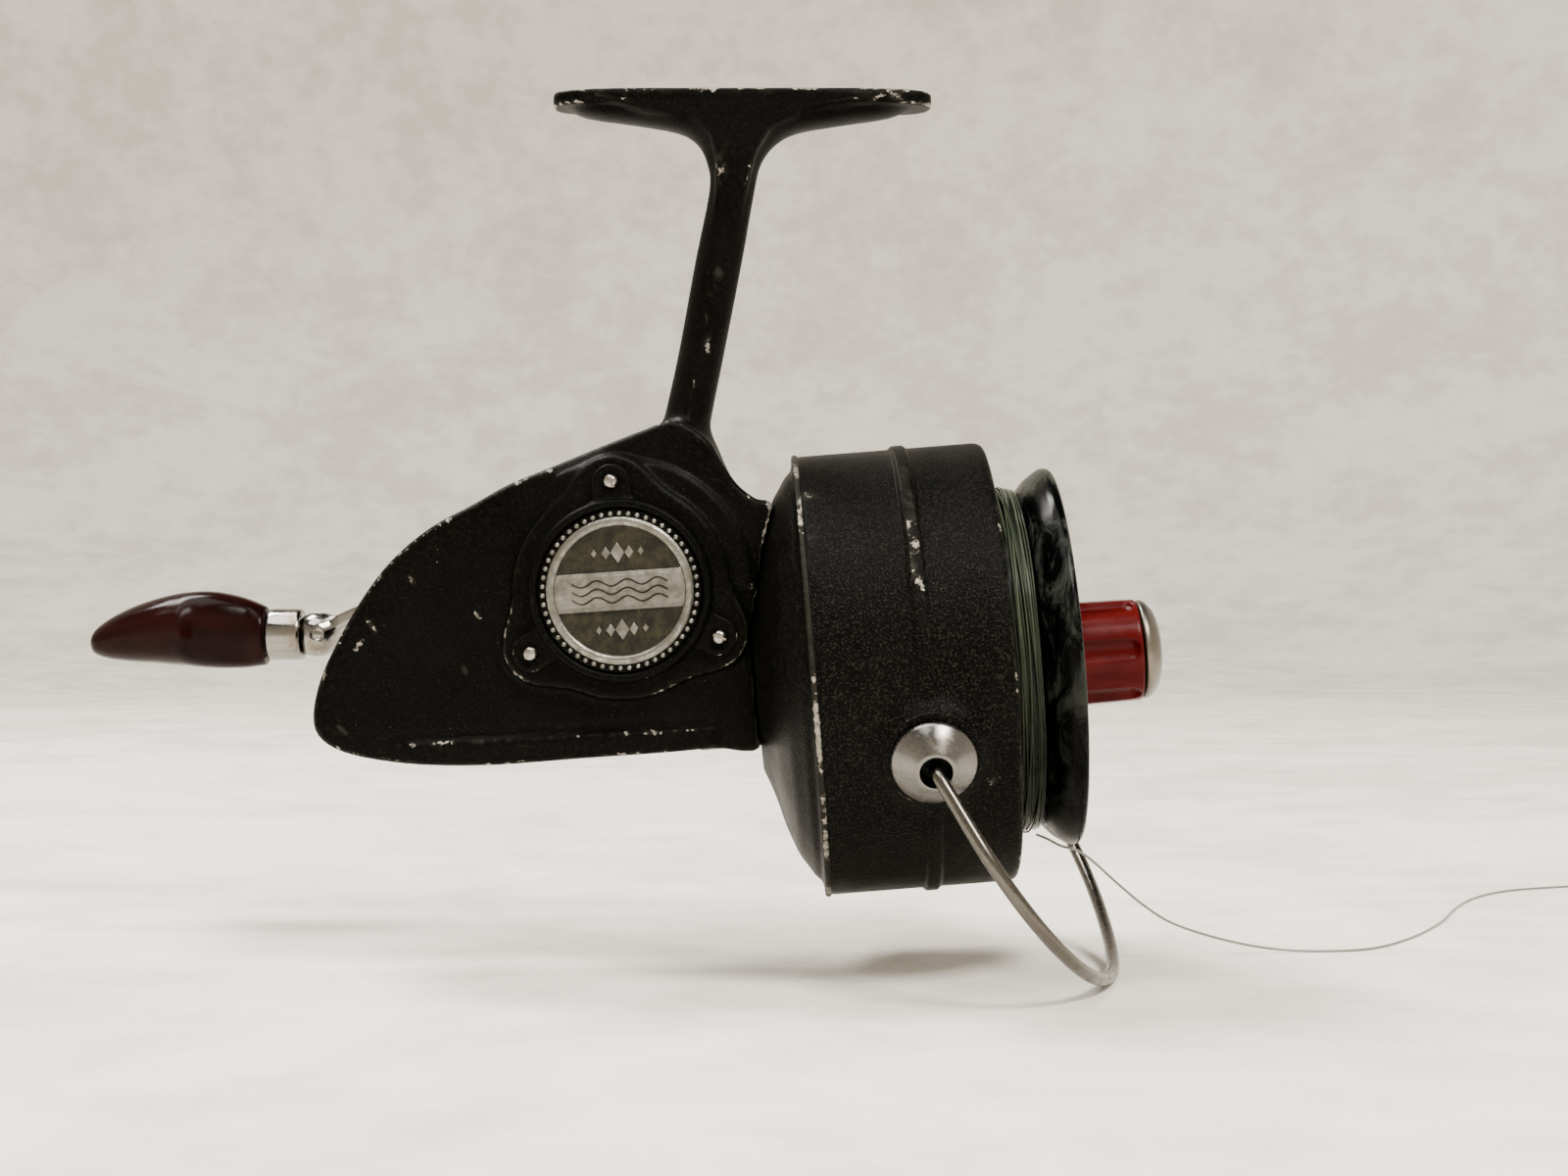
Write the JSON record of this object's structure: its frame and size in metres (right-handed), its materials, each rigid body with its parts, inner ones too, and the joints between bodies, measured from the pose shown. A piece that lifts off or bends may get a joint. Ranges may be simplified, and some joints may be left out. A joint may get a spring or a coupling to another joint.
{
  "type": "fixed-spool fishing reel",
  "caption": "Open-face fixed-spool fishing reel with a rod foot, folding crank, wire bail, front drag knob and a spool wound with nylon line.",
  "frame": {"origin": "centre of the flat top of the reel foot, where it meets the rod", "axes": "+Z out of the top of the foot, to the rod; +X forward, to the spool; +Y to the side that carries the crank"},
  "size_m": [0.3496, 0.1748, 0.1636],
  "materials": {
    "black_paint": "textured black enamel on cast aluminium, chipped to bare metal along its edges",
    "spool_black": "glossy black enamel on turned aluminium",
    "chrome": "polished chrome plate with light wear",
    "silver": "bright aluminium",
    "steel": "machined steel",
    "brass": "machined brass",
    "burgundy_plastic": "polished burgundy plastic",
    "red_plastic": "polished red plastic",
    "line_nylon": "clear green-tinted nylon monofilament",
    "fibre": "pressed fibre washer"
  },
  "bodies": {
    "housing": {"housing": "black_paint", "side_cover": "black_paint", "badge": "silver", "cover_screw_top": "silver", "cover_screw_rear": "silver", "cover_screw_front": "silver", "crank_bushing": "brass", "front_bearing": "steel", "bearing_retainer": "steel", "loose_line": "line_nylon"},
    "anti_reverse": {"anti_reverse_lever": "silver", "anti_reverse_pawl": "steel"},
    "crank": {"gear_wheel": "brass", "eccentric_disc": "brass", "ratchet_wheel": "steel", "crank_shaft": "steel", "crank_arm": "chrome", "crank_nut": "chrome", "fold_pin": "steel"},
    "knob_stem": {"knob_ferrule": "chrome"},
    "knob": {"handle_knob": "burgundy_plastic"},
    "rotor": {"pinion": "brass", "rotor_cup": "black_paint", "rotor_nut": "steel", "bail_spring": "steel"},
    "bail": {"bail_wire": "chrome", "bail_nut_near": "chrome", "bail_arm": "chrome", "bail_nut_far": "chrome", "roller_screw": "steel"},
    "roller": {"line_roller": "chrome"},
    "shaft": {"main_shaft": "steel", "oscillation_slider": "brass", "spool_rest_washer": "brass"},
    "spool": {"spool": "spool_black", "line_winding": "line_nylon", "drag_washer_keyed_rear": "steel", "drag_washer_fibre": "fibre", "drag_washer_keyed_front": "steel"},
    "drag": {"drag_knob": "red_plastic", "drag_knob_cap": "silver", "drag_spring": "steel"}
  },
  "joints": [
    {"name": "crank_turn", "type": "hinge", "parent": "housing", "child": "crank", "pos_m": [-0.0216, 0, -0.093], "axis": [0, 1, 0], "continuous": true},
    {"name": "rotor_spin", "type": "hinge", "parent": "housing", "child": "rotor", "pos_m": [0.0127, 0, -0.1089], "axis": [0.9969, 0, 0.0785], "continuous": true},
    {"name": "bail_flip", "type": "hinge", "parent": "rotor", "child": "bail", "pos_m": [0.03214, 0, -0.10737], "axis": [0.0262, -0.9426, -0.3328], "range_deg": [0, 100]},
    {"name": "line_roller_spin", "type": "hinge", "parent": "bail", "child": "roller", "pos_m": [0.0469, 0.05063, -0.11259], "axis": [0.0262, -0.9426, -0.3328], "continuous": true},
    {"name": "shaft_slide", "type": "slide", "parent": "housing", "child": "shaft", "axis": [0.9969, 0, 0.0785], "range_m": [0, 0.014]},
    {"name": "spool_slip", "type": "hinge", "parent": "shaft", "child": "spool", "pos_m": [0.04261, 0, -0.10655], "axis": [0.9969, 0, 0.0785], "continuous": true},
    {"name": "drag_knob_turn", "type": "hinge", "parent": "shaft", "child": "drag", "pos_m": [0.06554, 0, -0.10474], "axis": [0.9969, 0, 0.0785], "range_deg": [-360, 360]},
    {"name": "knob_fold", "type": "hinge", "parent": "crank", "child": "knob_stem", "pos_m": [-0.0943, 0.0735, -0.1028], "axis": [0, 0, -1], "range_deg": [0, 90]},
    {"name": "knob_spin", "type": "hinge", "parent": "knob_stem", "child": "knob", "pos_m": [-0.0943, 0.0735, -0.1028], "axis": [-1, 0, 0], "continuous": true},
    {"name": "anti_reverse_switch", "type": "hinge", "parent": "housing", "child": "anti_reverse", "pos_m": [-0.038, 0, -0.11], "axis": [0, 1, 0], "range_deg": [0, 20]}
  ],
  "couplings": [
    {"joint": "rotor_spin", "follows": "crank_turn", "ratio": 3.3}
  ]
}
